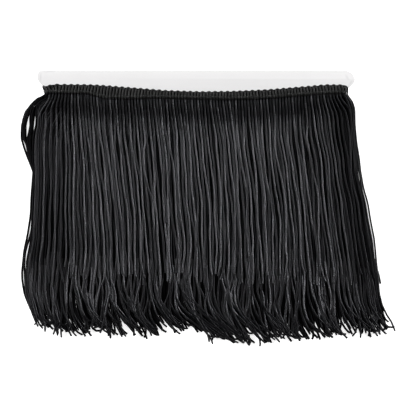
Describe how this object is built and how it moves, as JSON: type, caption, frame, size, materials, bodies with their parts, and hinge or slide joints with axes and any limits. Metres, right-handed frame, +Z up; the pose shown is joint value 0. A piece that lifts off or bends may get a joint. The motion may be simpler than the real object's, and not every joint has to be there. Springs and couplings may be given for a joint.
{
  "type": "chainette fringe on a card bar",
  "caption": "Black chainette fringe with a scalloped ribbed heading, wound on a white card bar and lying flat, its long strands spread and swept at their cut ends.",
  "frame": {"origin": "centre of the bounding box, on the surface that the fringe lies on", "axes": "+X along the heading, +Y from the strand ends to the bar, +Z up out of the surface, towards the front of the fringe"},
  "size_m": [0.4476, 0.3296, 0.012],
  "materials": {
    "black_yarn": "satin black knitted rayon cord",
    "white_card": "matt off-white card"
  },
  "bodies": {
    "root": {"fringe": "black_yarn", "bar": "white_card"}
  },
  "joints": []
}
